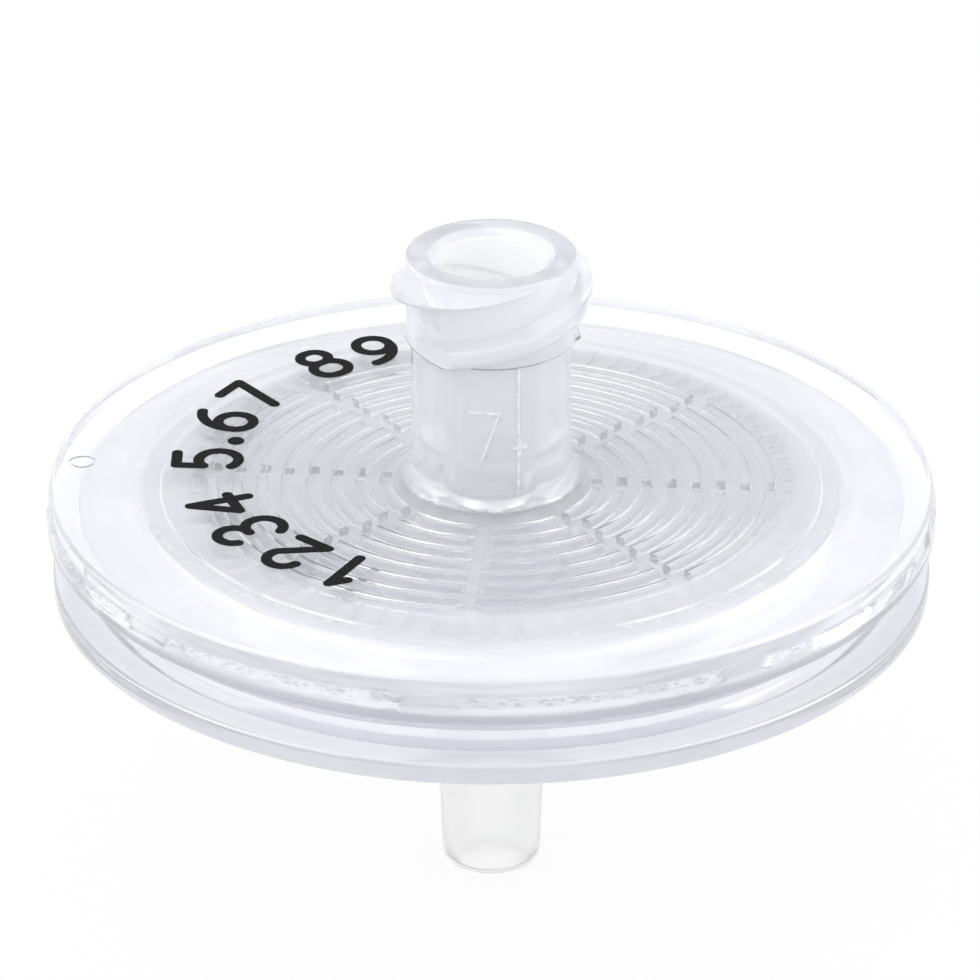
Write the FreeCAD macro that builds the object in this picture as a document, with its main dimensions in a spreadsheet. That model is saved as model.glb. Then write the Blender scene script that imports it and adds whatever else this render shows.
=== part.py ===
import FreeCAD, Part
import os

import Sketcher
from FreeCAD import Placement, Rotation, Vector

# Disc syringe filter: a translucent inlet half with a luer-lock socket, a translucent outlet half
# with a luer-slip spigot, the membrane clamped between them and the figures printed on the deck.
# The origin is the centre of the spigot's end face, and +Z points to the inlet.

SIZES = [
    # The two halves, from the spigot's end upwards.
    ("spigot_length", 12.88, "spigot end to the lower flange"),
    ("lower_flange_thickness", 0.75, "lower flange, top to bottom"),
    ("groove_width", 1.66, "open groove between the flanges"),
    ("upper_flange_thickness", 1.88, "upper flange, groove to deck"),
    ("plate_thickness", 0.7, "inlet plate over the rings"),
    ("ring_height", 0.35, "inlet rings, plate to membrane"),
    ("membrane_thickness", 0.2, "membrane"),
    ("rib_height", 0.4, "support ribs, floor to membrane"),
    ("floor_thickness", 1.2, "outlet plate under the ribs"),
    # Rims and walls.
    ("flange_radius", 17.25, "both flanges"),
    ("lip_height", 0.65, "upper flange above its proud band"),
    ("band_step", 0.17, "proud band beyond the flange"),
    ("band_chamfer", 0.3, "lower edge of the proud band"),
    ("deck_edge_round", 0.18, "rounding of the deck's edge"),
    ("lower_edge_round", 0.2, "rounding of the lower flange's upper edge"),
    ("groove_depth", 1.25, "flange's edge to the waist"),
    ("window_angle", 7.0, "each window in the proud band, degrees"),
    ("window_height", 0.45, "each window in the proud band"),
    ("window_start", -17.5, "azimuth of the first window, degrees"),
    ("window_count", 9, "windows round the band"),
    ("gate_inset", 1.15, "flange's edge to the gate mark's middle"),
    ("gate_azimuth", 177.0, "gate mark round the deck, degrees"),
    ("gate_mark_radius", 0.55, "gate mark, outside"),
    ("gate_mark_width", 0.14, "gate mark, ring width"),
    ("gate_mark_depth", 0.05, "gate mark below the deck"),
    # The chamber.
    ("chamber_wall", 2.25, "waist to the chamber"),
    ("plateau_clearance", 0.05, "socket wall to the outlet plateau"),
    ("membrane_clearance", 0.15, "socket wall to the membrane's edge"),
    ("clamp_width", 0.85, "ring that clamps the membrane"),
    ("ring_count", 8, "rings under the inlet plate"),
    ("ring_start", 3.9, "inside of the first ring"),
    ("ring_pitch", 0.965, "ring to ring"),
    ("ring_width", 0.45, "each ring"),
    ("spoke_count", 8, "channels across the rings"),
    ("spoke_start", -4.5, "azimuth of the first channel, degrees"),
    ("narrow_channel", 0.5, "channel across the even rings"),
    ("wide_channel", 0.95, "channel across the odd rings"),
    ("tick_count", 72, "short ribs outside the rings"),
    ("tick_gap", 0.25, "outer ring to the ticks"),
    ("tick_length", 1.2, "each tick"),
    ("tick_width", 0.18, "each tick"),
    ("tick_height", 0.15, "each tick, down from the plate"),
    ("rib_count", 9, "support ribs under the membrane"),
    ("rib_start", 3.0, "inside of the first support rib"),
    ("rib_pitch", 1.05, "rib to rib"),
    ("rib_width", 0.5, "each support rib"),
    ("rib_channel", 0.8, "channel across the support ribs"),
    ("rib_channel_count", 6, "channels across the support ribs"),
    # Hub with the luer-lock socket.
    ("hub_height", 9.39, "deck to the hub's rim"),
    ("tube_radius", 3.1, "hub below the collar"),
    ("tube_foot_round", 0.7, "fillet at the foot of the hub"),
    ("collar_radius", 3.315, "collar"),
    ("collar_step", 5.92, "deck to the collar's lower step"),
    ("rim_round", 0.15, "rounding of the hub's outer rim"),
    ("socket_radius", 2.16, "luer socket at the rim"),
    ("socket_depth", 8.3, "luer socket"),
    ("luer_taper", 0.06, "luer cone, diameter over length"),
    ("mouth_chamfer", 0.36, "lead-in of the socket"),
    ("mouth_depth", 0.3, "height of the lead-in"),
    ("inlet_hole_radius", 1.25, "hole from the socket to the chamber"),
    ("lug_lead", 5.0, "rise of a lug in one turn"),
    ("lug_mid_height", 7.98, "deck to the crest where it faces sideways"),
    ("lug_span", 7.8, "across the two lugs"),
    ("lug_crest", 0.6, "width of the crest"),
    ("lug_foot", 1.2, "width at the collar"),
    ("lug_root", 0.3, "depth of the lug's root in the collar"),
    ("lug_end_fall", 0.6, "fall of a lug's upper end from the collar to its crest"),
    ("lug_start_azimuth", 20, "azimuth where a lug starts to rise from the collar, degrees"),
    ("lug_start_shift", 3, "axis to the centre of the round that takes off a lug's lower end"),
    ("lug_start_height", 1.3, "height of that round, up from the collar's step"),
    # Spigot.
    ("spigot_radius", 1.965, "luer spigot at its end"),
    ("cone_length", 8.0, "luer cone of the spigot"),
    ("spigot_neck_radius", 3.2, "spigot above the cone"),
    ("neck_slope", 0.8, "height of the slope up to the neck"),
    ("outlet_hole_radius", 1.225, "hole through the spigot"),
    ("tip_round", 0.2, "rounding of the spigot's end"),
    ("skirt_wall", 3.0, "waist to the recess under the outlet half"),
    # Printed figures.
    ("ink_thickness", 0.03, "ink on the deck"),
    ("ink_pen", 0.43, "stroke of a figure"),
    ("point_radius", 0.33, "printed point"),
    ("figure_height", 2.35, "figure, between the ends of its strokes"),
    ("figure_width", 1.45, "figure, between the ends of its strokes"),
    ("print_inset", 7.35, "flange's edge to the feet of the figures"),
    ("print_shift_left", 0.13, "print's centre left of the axis"),
    ("print_shift_back", 1.17, "print's centre behind the axis"),
    ("print_azimuth", 241.3, "first figure, degrees"),
    ("figure_turn", 13.2, "figure to figure, degrees"),
    ("space_turn", 8.0, "space between groups, degrees"),
    ("point_turn", 5.4, "share of a point, degrees"),
]

FIGURES = "1234 5.67 89"


def make_sheet(document):
    """Spreadsheet of the driving dimensions, one row each."""
    sheet = document.addObject("Spreadsheet::Sheet", "Sizes")
    for row, (alias, number, note) in enumerate(SIZES, start=1):
        sheet.set(f"A{row}", note)
        sheet.set(f"B{row}", str(number))
        sheet.setAlias(f"B{row}", alias)
    document.recompute()
    return sheet


doc = FreeCAD.newDocument("syringe_filter")
sizes = make_sheet(doc)


def value(expression):
    """Number that an expression on the sheet gives now."""
    return float(sizes.evalExpression(expression))


def add(*terms):
    """Expression for a sum of terms."""
    return "(" + " + ".join(terms) + ")"


def less(first, *terms):
    """Expression for a term less others."""
    return "(" + " - ".join((first,) + terms) + ")"


# Heights above the spigot's end, as expressions on the sheet.
lower_under = "Sizes.spigot_length"
groove_floor = add(lower_under, "Sizes.lower_flange_thickness")
weld_plane = add(groove_floor, "Sizes.groove_width / 2")
groove_roof = add(groove_floor, "Sizes.groove_width")
deck = add(groove_roof, "Sizes.upper_flange_thickness")
ceiling = less(deck, "Sizes.plate_thickness")
membrane_top = less(ceiling, "Sizes.ring_height")
membrane_under = less(membrane_top, "Sizes.membrane_thickness")
support_floor = less(membrane_under, "Sizes.rib_height")
recess_roof = less(support_floor, "Sizes.floor_thickness")
step_height = add(deck, "Sizes.collar_step")
rim_height = add(deck, "Sizes.hub_height")
lip_under = less(deck, "Sizes.lip_height")

# Radii that follow from others.
flange_radius = "Sizes.flange_radius"
band_radius = add(flange_radius, "Sizes.band_step")
waist_radius = less(flange_radius, "Sizes.groove_depth")
chamber_radius = less(waist_radius, "Sizes.chamber_wall")
gate_radius = less(flange_radius, "Sizes.gate_inset")
print_radius = less(flange_radius, "Sizes.print_inset")
plateau_radius = less(chamber_radius, "Sizes.plateau_clearance")
membrane_radius = less(chamber_radius, "Sizes.membrane_clearance")
clamp_inside = less(chamber_radius, "Sizes.clamp_width")
skirt_inside = less(waist_radius, "Sizes.skirt_wall")
socket_end_radius = less("Sizes.socket_radius", "Sizes.socket_depth * Sizes.luer_taper / 2")
cone_end_radius = add("Sizes.spigot_radius", "Sizes.cone_length * Sizes.luer_taper / 2")


def make_body(label):
    """Empty body for one piece."""
    body = doc.addObject("PartDesign::Body", label)
    body.Label = label
    return body


def origin_plane(body, role):
    """One of the body's own origin planes."""
    return next(plane for plane in body.Origin.OriginFeatures if plane.Role == role)


def make_sketch(body, name, role):
    """Empty sketch on one of the body's origin planes."""
    sketch = body.newObject("Sketcher::SketchObject", name)
    sketch.AttachmentSupport = [(origin_plane(body, role), "")]
    sketch.MapMode = "FlatFace"
    return sketch


def turn_sketch(sketch, axis, degrees):
    """Turn a sketch about one of its own axes by an expression in degrees."""
    sketch.AttachmentOffset = Placement(Vector(), Rotation(axis, value(degrees)))
    sketch.setExpression("AttachmentOffset.Rotation.Angle", f"{degrees} * 1 deg")


def lift_sketch(sketch, height):
    """Lift a sketch that lies in the XY plane to a height expression."""
    sketch.setExpression("AttachmentOffset.Base.z", height)


def bind_constraint(sketch, constraint, expression):
    """Add a constraint and tie its value to the sheet."""
    number = sketch.addConstraint(constraint)
    sketch.setExpression(f"Constraints[{number}]", expression)


def add_outline(sketch, corners):
    """Closed outline of straight edges, each corner given as two expressions."""
    places = [Vector(value(across), value(up), 0) for across, up in corners]
    first = sketch.GeometryCount
    for start, end in zip(places, places[1:] + places[:1]):
        sketch.addGeometry(Part.LineSegment(start, end))
    for step, (across, up) in enumerate(corners):
        edge = first + step
        before = first + (step - 1) % len(corners)
        sketch.addConstraint(Sketcher.Constraint("Coincident", before, 2, edge, 1))
        wide = Sketcher.Constraint("DistanceX", -1, 1, edge, 1, places[step].x)
        bind_constraint(sketch, wide, across)
        high = Sketcher.Constraint("DistanceY", -1, 1, edge, 1, places[step].y)
        bind_constraint(sketch, high, up)


def add_circle(sketch, radius, across="0"):
    """Circle about a point on the sketch's own X axis."""
    centre = Vector(value(across), 0, 0)
    circle = sketch.addGeometry(Part.Circle(centre, Vector(0, 0, 1), value(radius)))
    bind_constraint(sketch, Sketcher.Constraint("Radius", circle, value(radius)), radius)
    sketch.addConstraint(Sketcher.Constraint("PointOnObject", circle, 3, -1))
    bind_constraint(sketch, Sketcher.Constraint("DistanceX", -1, 1, circle, 3, centre.x), across)


def rectangle(left, right, low, high):
    """Corners of a rectangle between four expressions."""
    return [(left, low), (right, low), (right, high), (left, high)]


def revolve(body, name, outlines, kind="PartDesign::Revolution"):
    """Turn outlines in the XZ plane once round the axis."""
    sketch = make_sketch(body, name + "_outline", "XZ_Plane")
    for outline in outlines:
        add_outline(sketch, outline)
    feature = body.newObject(kind, name)
    feature.Profile = sketch
    feature.ReferenceAxis = (sketch, ["V_Axis"])
    feature.Angle = 360
    doc.recompute()
    return feature


def polar_pattern(body, feature, sketch, axis, count):
    """Repeat a feature round the axis and make the result the body's tip."""
    pattern = body.newObject("PartDesign::PolarPattern", feature.Name + "_pattern")
    pattern.Originals = [feature]
    pattern.Axis = (sketch, [axis])
    pattern.Angle = 360
    pattern.setExpression("Occurrences", count)
    body.Tip = pattern
    doc.recompute()
    return pattern


def circular_edges(feature, radius, height):
    """Names of a feature's round edges at one radius and height."""
    names = []
    for number, edge in enumerate(feature.Shape.Edges, start=1):
        curve = edge.Curve
        if not isinstance(curve, Part.Circle):
            continue
        same_radius = abs(curve.Radius - value(radius)) < 1e-6
        same_height = abs(curve.Center.z - value(height)) < 1e-6
        if same_radius and same_height:
            names.append(f"Edge{number}")
    return names


def round_edge(body, name, radius, height, size):
    """Fillet the round edge of the body's tip at one radius and height."""
    base = body.Tip
    fillet = body.newObject("PartDesign::Fillet", name)
    fillet.Base = (base, circular_edges(base, radius, height))
    fillet.setExpression("Radius", size)
    doc.recompute()
    return fillet


def crossing_channels(body, name, inside, outside, width, floor, depth, count):
    """Radial channels of one width cut upwards from a floor height."""
    sketch = make_sketch(body, name + "_outline", "XY_Plane")
    add_outline(sketch, rectangle(inside, outside, f"-{width} / 2", f"{width} / 2"))
    turn_sketch(sketch, Vector(0, 0, 1), "Sizes.spoke_start")
    lift_sketch(sketch, floor)
    pocket = body.newObject("PartDesign::Pocket", name)
    pocket.Profile = sketch
    pocket.setExpression("Length", depth)
    pocket.Reversed = True
    doc.recompute()
    return polar_pattern(body, pocket, sketch, "N_Axis", count)


def ring_outlines(start, pitch, width, low, high, picked):
    """Sections of the concentric rings whose numbers are picked."""
    outlines = []
    for number in picked:
        inside = add(start, f"{number} * {pitch}")
        outlines.append(rectangle(inside, add(inside, width), low, high))
    return outlines


def inlet_shell_outline():
    """Section of the inlet half without its rings and lugs."""
    socket_floor = less(rim_height, "Sizes.socket_depth")
    mouth_floor = less(rim_height, "Sizes.mouth_depth")
    mouth_radius = less("Sizes.socket_radius", "Sizes.mouth_depth * Sizes.luer_taper / 2")
    return [
        ("Sizes.inlet_hole_radius", ceiling),
        (clamp_inside, ceiling),
        (clamp_inside, membrane_top),
        (chamber_radius, membrane_top),
        (chamber_radius, weld_plane),
        (waist_radius, weld_plane),
        (waist_radius, groove_roof),
        (less(band_radius, "Sizes.band_chamfer"), groove_roof),
        (band_radius, add(groove_roof, "Sizes.band_chamfer")),
        (band_radius, lip_under),
        (flange_radius, lip_under),
        (flange_radius, deck),
        ("Sizes.tube_radius", deck),
        ("Sizes.tube_radius", step_height),
        ("Sizes.collar_radius", step_height),
        ("Sizes.collar_radius", rim_height),
        (add("Sizes.socket_radius", "Sizes.mouth_chamfer"), rim_height),
        (mouth_radius, mouth_floor),
        (socket_end_radius, socket_floor),
        ("Sizes.inlet_hole_radius", socket_floor),
    ]


def add_inlet_rings(body):
    """Concentric rings under the plate, crossed by channels whose sides step in and out."""
    count = int(sizes.ring_count)
    inside = less("Sizes.ring_start", "Sizes.ring_width")
    outside = add("Sizes.ring_start", "Sizes.ring_count * Sizes.ring_pitch")
    for name, first, width in [
        ("odd_rings", 1, "Sizes.wide_channel"),
        ("even_rings", 0, "Sizes.narrow_channel"),
    ]:
        picked = range(first, count, 2)
        outlines = ring_outlines(
            "Sizes.ring_start", "Sizes.ring_pitch", "Sizes.ring_width", membrane_top, ceiling, picked
        )
        revolve(body, name, outlines)
        crossing_channels(
            body, name + "_channel", inside, outside, width, membrane_top, "Sizes.ring_height",
            "Sizes.spoke_count",
        )


def add_ticks(body):
    """Short radial ribs between the rings and the clamp ring."""
    last_ring = add("Sizes.ring_start", "(Sizes.ring_count - 1) * Sizes.ring_pitch")
    inside = add(last_ring, "Sizes.ring_width", "Sizes.tick_gap")
    outside = add(inside, "Sizes.tick_length")
    sketch = make_sketch(body, "tick_outline", "XY_Plane")
    half = "Sizes.tick_width / 2"
    add_outline(sketch, rectangle(inside, outside, f"-{half}", half))
    lift_sketch(sketch, less(ceiling, "Sizes.tick_height"))
    tick = body.newObject("PartDesign::Pad", "tick")
    tick.Profile = sketch
    tick.setExpression("Length", "Sizes.tick_height")
    doc.recompute()
    polar_pattern(body, tick, sketch, "N_Axis", "Sizes.tick_count")


def add_lug_starts(body):
    """Rounds, off centre, that let the lugs rise slowly out of the collar above its step."""
    sketch = make_sketch(body, "lug_start_outline", "XY_Plane")
    inside = add("Sizes.collar_radius", "Sizes.lug_start_shift")
    add_circle(sketch, inside, "Sizes.lug_start_shift")
    add_circle(sketch, add(inside, "Sizes.lug_foot"), "Sizes.lug_start_shift")
    turn_sketch(sketch, Vector(0, 0, 1), "Sizes.lug_start_azimuth")
    lift_sketch(sketch, add(step_height, "Sizes.lug_start_height"))
    start = body.newObject("PartDesign::Pocket", "lug_start")
    start.Profile = sketch
    start.setExpression("Length", "Sizes.lug_start_height")
    doc.recompute()
    polar_pattern(body, start, sketch, "N_Axis", "2")


def add_lugs(body):
    """Two helical lugs of the luer lock, rising out of the collar and sloped off under the rim."""
    half_foot = "Sizes.lug_foot / 2"
    half_crest = "Sizes.lug_crest / 2"
    start = less(step_height, half_foot)
    below_mid = less("Sizes.lug_mid_height", "Sizes.collar_step", "-" + half_foot)
    azimuth = f"(180 - 360 * {below_mid} / Sizes.lug_lead)"
    root = less("Sizes.collar_radius", "Sizes.lug_root")
    crest = "Sizes.lug_span / 2"
    sketch = make_sketch(body, "lug_outline", "XZ_Plane")
    add_outline(sketch, [
        (root, less(start, half_foot)),
        ("Sizes.collar_radius", less(start, half_foot)),
        (crest, less(start, half_crest)),
        (crest, add(start, half_crest)),
        ("Sizes.collar_radius", add(start, half_foot)),
        (root, add(start, half_foot)),
    ])
    turn_sketch(sketch, Vector(0, 1, 0), azimuth)
    lug = body.newObject("PartDesign::AdditiveHelix", "lug")
    lug.Profile = sketch
    lug.ReferenceAxis = (sketch, ["V_Axis"])
    lug.Mode = "pitch-height-angle"
    lug.setExpression("Pitch", "Sizes.lug_lead")
    lug.setExpression("Height", less(add(rim_height, half_foot), start))
    doc.recompute()
    polar_pattern(body, lug, sketch, "V_Axis", "2")
    beyond = add(crest, "Sizes.lug_foot")
    under = rectangle("Sizes.tube_radius", beyond, less(step_height, "2 * Sizes.lug_foot"), step_height)
    reach = less(crest, "Sizes.collar_radius")
    shoulder = less(rim_height, "2 * Sizes.rim_round")
    fall = f"Sizes.lug_end_fall * (1 + Sizes.lug_foot / ({reach}))"
    top = add(rim_height, "2 * Sizes.lug_foot")
    above = [
        ("Sizes.inlet_hole_radius", rim_height),
        ("Sizes.collar_radius", rim_height),
        ("Sizes.collar_radius", shoulder),
        (beyond, less(shoulder, fall)),
        (beyond, top),
        ("Sizes.inlet_hole_radius", top),
    ]
    revolve(body, "lug_trim", [under, above], "PartDesign::Groove")
    add_lug_starts(body)


def add_windows(body):
    """Smooth windows cut into the proud band of the upper flange."""
    outline = rectangle(
        flange_radius, add(band_radius, "Sizes.band_chamfer"),
        less(lip_under, "Sizes.window_height"), lip_under,
    )
    sketch = make_sketch(body, "window_outline", "XZ_Plane")
    add_outline(sketch, outline)
    turn_sketch(sketch, Vector(0, 1, 0), "Sizes.window_start")
    window = body.newObject("PartDesign::Groove", "window")
    window.Profile = sketch
    window.ReferenceAxis = (sketch, ["V_Axis"])
    window.Midplane = True
    window.setExpression("Angle", "Sizes.window_angle * 1 deg")
    doc.recompute()
    polar_pattern(body, window, sketch, "V_Axis", "Sizes.window_count")


def add_gate_mark(body):
    """Shallow ring left by the gate in the deck."""
    sketch = make_sketch(body, "gate_outline", "XY_Plane")
    add_circle(sketch, "Sizes.gate_mark_radius", gate_radius)
    add_circle(sketch, less("Sizes.gate_mark_radius", "Sizes.gate_mark_width"), gate_radius)
    turn_sketch(sketch, Vector(0, 0, 1), "Sizes.gate_azimuth")
    lift_sketch(sketch, deck)
    mark = body.newObject("PartDesign::Pocket", "gate_mark")
    mark.Profile = sketch
    mark.setExpression("Length", "Sizes.gate_mark_depth")
    doc.recompute()


def make_inlet_housing():
    """Upper half: flange, plate, rings, hub, luer socket and lugs."""
    body = make_body("inlet_housing")
    revolve(body, "inlet_shell", [inlet_shell_outline()])
    round_edge(body, "deck_edge", flange_radius, deck, "Sizes.deck_edge_round")
    round_edge(body, "hub_foot", "Sizes.tube_radius", deck, "Sizes.tube_foot_round")
    add_lugs(body)
    round_edge(body, "rim_edge", "Sizes.collar_radius", rim_height, "Sizes.rim_round")
    add_inlet_rings(body)
    add_ticks(body)
    add_windows(body)
    add_gate_mark(body)
    return body


def outlet_shell_outline():
    """Section of the outlet half without its support ribs."""
    neck_low = add("Sizes.cone_length", "Sizes.neck_slope")
    return [
        ("Sizes.outlet_hole_radius", "0"),
        ("Sizes.spigot_radius", "0"),
        (cone_end_radius, "Sizes.cone_length"),
        ("Sizes.spigot_neck_radius", neck_low),
        ("Sizes.spigot_neck_radius", recess_roof),
        (skirt_inside, recess_roof),
        (skirt_inside, lower_under),
        (flange_radius, lower_under),
        (flange_radius, groove_floor),
        (waist_radius, groove_floor),
        (waist_radius, weld_plane),
        (plateau_radius, weld_plane),
        (plateau_radius, membrane_under),
        (clamp_inside, membrane_under),
        (clamp_inside, support_floor),
        ("Sizes.outlet_hole_radius", support_floor),
    ]


def add_support_ribs(body):
    """Concentric ribs that carry the membrane, crossed by channels to the outlet hole."""
    picked = range(int(sizes.rib_count))
    outlines = ring_outlines(
        "Sizes.rib_start", "Sizes.rib_pitch", "Sizes.rib_width", support_floor, membrane_under, picked
    )
    revolve(body, "ribs", outlines)
    outside = add("Sizes.rib_start", "Sizes.rib_count * Sizes.rib_pitch")
    crossing_channels(
        body, "rib_channels", "Sizes.outlet_hole_radius", outside, "Sizes.rib_channel", support_floor,
        "Sizes.rib_height", "Sizes.rib_channel_count",
    )


def make_outlet_housing():
    """Lower half: flange, waist, membrane support and luer spigot."""
    body = make_body("outlet_housing")
    revolve(body, "outlet_shell", [outlet_shell_outline()])
    round_edge(body, "tip_edge", "Sizes.spigot_radius", "0", "Sizes.tip_round")
    round_edge(
        body, "flange_edge", flange_radius, groove_floor, "Sizes.lower_edge_round"
    )
    add_support_ribs(body)
    return body


def make_membrane():
    """Membrane disc between the support ribs and the inlet rings."""
    body = make_body("membrane")
    sketch = make_sketch(body, "membrane_outline", "XY_Plane")
    add_circle(sketch, membrane_radius)
    lift_sketch(sketch, membrane_under)
    disc = body.newObject("PartDesign::Pad", "membrane_disc")
    disc.Profile = sketch
    disc.setExpression("Length", "Sizes.membrane_thickness")
    doc.recompute()
    return body


# Each figure is a list of strokes. A stroke is a list of points in shares of the figure's half
# width and of its height. A point marked "via" is passed on an arc between its neighbours.
STROKES = {
    "1": [[(-0.5, 0.76), (0.15, 1.0), (0.15, 0.0)]],
    "2": [[(-0.9, 0.74), ("via", 0.05, 1.0), (0.8, 0.6), (-1.0, 0.0), (1.0, 0.0)]],
    "3": [[(-0.8, 0.9), ("via", 0.9, 0.76), (-0.1, 0.55)], [(-0.1, 0.55), ("via", 1.0, 0.26), (-0.9, 0.1)]],
    "4": [[(0.45, 0.0), (0.45, 1.0), (-1.0, 0.3)], [(-1.0, 0.3), (0.0, 0.3), (1.0, 0.3)]],
    "5": [[(0.8, 1.0), (-0.7, 1.0), (-0.8, 0.55)], [(-0.8, 0.55), ("via", 1.0, 0.32), (-0.9, 0.08)]],
    "6": [[(0.7, 0.98), ("via", -0.6, 0.72), (-0.95, 0.3)], [(-0.95, 0.3), ("via", 0.0, 0.0), (0.95, 0.3)],
          [(0.95, 0.3), ("via", 0.0, 0.6), (-0.95, 0.3)]],
    "7": [[(-0.95, 1.0), (0.95, 1.0), (-0.35, 0.0)]],
    "8": [[(0.0, 0.54), ("via", -0.8, 0.77), (0.0, 1.0)], [(0.0, 1.0), ("via", 0.8, 0.77), (0.0, 0.54)],
          [(0.0, 0.54), ("via", 1.0, 0.27), (0.0, 0.0)], [(0.0, 0.0), ("via", -1.0, 0.27), (0.0, 0.54)]],
    "9": [[(-0.7, 0.02), ("via", 0.6, 0.28), (0.95, 0.7)], [(0.95, 0.7), ("via", 0.0, 1.0), (-0.95, 0.7)],
          [(-0.95, 0.7), ("via", 0.0, 0.4), (0.95, 0.7)]],
}


def stroke_wire(points, half_width, height):
    """Wire through a stroke's points."""
    places = []
    bent = []
    for point in points:
        bent.append(point[0] == "via")
        across, up = point[-2:]
        places.append(Vector(across * half_width, up * height, 0))
    edges = []
    for number in range(1, len(places)):
        if bent[number]:
            edges.append(Part.Arc(places[number - 1], places[number], places[number + 1]).toShape())
        elif not bent[number - 1]:
            edges.append(Part.LineSegment(places[number - 1], places[number]).toShape())
    return Part.Wire(edges)


def figure_ink(character):
    """Solid ink of one figure, its foot on the X axis."""
    pen = float(sizes.ink_pen) / 2
    thickness = Vector(0, 0, float(sizes.ink_thickness))
    if character == ".":
        dot = Part.Wire(Part.makeCircle(float(sizes.point_radius), Vector(0, pen, 0)))
        return Part.Face(dot).extrude(thickness)
    half_width = float(sizes.figure_width) / 2
    strokes = []
    for points in STROKES[character]:
        outline = stroke_wire(points, half_width, float(sizes.figure_height)).makeOffset2D(pen)
        strokes.append(Part.Face(outline).extrude(thickness))
    if len(strokes) == 1:
        return strokes[0]
    return strokes[0].multiFuse(strokes[1:]).removeSplitter()


def figure_turns():
    """Each printed character with its azimuth, read clockwise."""
    turns = {" ": float(sizes.space_turn), ".": float(sizes.point_turn)}
    azimuth = float(sizes.print_azimuth) + float(sizes.figure_turn) / 2
    placed = []
    for character in FIGURES:
        half_turn = turns.get(character, float(sizes.figure_turn)) / 2
        azimuth -= half_turn
        if character != " ":
            placed.append((character, azimuth))
        azimuth -= half_turn
    return placed


def make_printed_figures():
    """Ink of the printed figures, tops outwards on an arc on the deck."""
    up = Vector(0, 0, 1)
    solids = []
    for character, azimuth in figure_turns():
        ink = figure_ink(character)
        ink.translate(Vector(0, value(print_radius), 0))
        ink.rotate(Vector(), up, azimuth - 90)
        solids.extend(ink.Solids)
    figures = doc.addObject("Part::Feature", "printed_figures")
    figures.Label = "printed_figures"
    figures.Shape = Part.makeCompound(solids)
    centre = Vector(-float(sizes.print_shift_left), float(sizes.print_shift_back), value(deck))
    figures.Placement = Placement(centre, Rotation())
    return figures


def check_document():
    """Stop on any object that failed to compute."""
    for item in doc.Objects:
        if "Invalid" in item.State or "Error" in item.State:
            raise RuntimeError(f"{item.Name} did not compute")


def write_piece(piece):
    """Write one piece's shape to its STEP file."""
    if piece.Shape.isNull() or not piece.Shape.isValid():
        raise RuntimeError(f"{piece.Label} has no valid shape")
    piece.Shape.exportStep(os.path.join("parts", piece.Label + ".step"))


pieces = [make_inlet_housing(), make_outlet_housing(), make_membrane(), make_printed_figures()]
doc.recompute()
check_document()
os.makedirs("parts", exist_ok=True)
for piece in pieces:
    write_piece(piece)
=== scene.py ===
"""Dresses the syringe filter: clear moulded housings, membrane, printed figures and the studio."""

import math
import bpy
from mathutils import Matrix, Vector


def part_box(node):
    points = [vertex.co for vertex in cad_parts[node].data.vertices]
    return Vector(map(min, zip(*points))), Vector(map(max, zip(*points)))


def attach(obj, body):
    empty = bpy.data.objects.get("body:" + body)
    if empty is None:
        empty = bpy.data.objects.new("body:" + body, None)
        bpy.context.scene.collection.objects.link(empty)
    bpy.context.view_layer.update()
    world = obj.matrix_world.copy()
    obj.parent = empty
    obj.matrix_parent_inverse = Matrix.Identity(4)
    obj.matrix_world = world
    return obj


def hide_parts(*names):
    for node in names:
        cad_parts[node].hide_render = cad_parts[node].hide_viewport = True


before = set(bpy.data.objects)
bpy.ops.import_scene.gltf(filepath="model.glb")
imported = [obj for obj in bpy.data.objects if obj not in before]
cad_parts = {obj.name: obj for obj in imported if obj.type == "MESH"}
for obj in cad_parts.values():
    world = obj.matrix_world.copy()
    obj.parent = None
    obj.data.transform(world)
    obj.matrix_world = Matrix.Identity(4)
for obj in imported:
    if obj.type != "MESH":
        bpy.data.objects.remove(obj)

from types import SimpleNamespace

import bmesh
import bpy
from bpy.props import FloatProperty, FloatVectorProperty, IntProperty, PointerProperty
from mathutils import Matrix, Vector, noise

bl_info = {
    "name": "Syringe Filter",
    "version": (1, 0, 0),
    "blender": (4, 5, 0),
    "location": "View3D > Sidebar > Filter",
    "description": "Builds the looks of a disc syringe filter round its packed model",
    "category": "Object",
}

MM = 0.001
TURN = 2 * math.pi
UP = Vector((0, 0, 1))
SECTORS = 24

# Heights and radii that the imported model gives, in metres.
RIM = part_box("inlet_housing")[1].z
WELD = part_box("inlet_housing")[0].z
BAND_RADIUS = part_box("inlet_housing")[1].x
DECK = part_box("printed_figures")[0].z
MEMBRANE_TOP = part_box("membrane")[1].z
MEMBRANE_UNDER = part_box("membrane")[0].z


def length(name, millimetres, description):
    """Length property whose default is given in millimetres."""
    return FloatProperty(
        name=name, description=description, default=millimetres * MM,
        min=0, subtype="DISTANCE", unit="LENGTH", precision=5,
    )


def angle(name, degrees, description):
    """Angle property whose default is given in degrees."""
    return FloatProperty(
        name=name, description=description, default=math.radians(degrees), subtype="ANGLE", unit="ROTATION",
    )


def share(name, default, description):
    """Plain share from 0 to 1."""
    return FloatProperty(name=name, description=description, default=default, min=0, max=1, subtype="FACTOR")


def colour(name, default, description):
    """Linear colour property."""
    return FloatVectorProperty(
        name=name, description=description, default=default, size=3, min=0, max=1, subtype="COLOR",
    )


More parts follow.
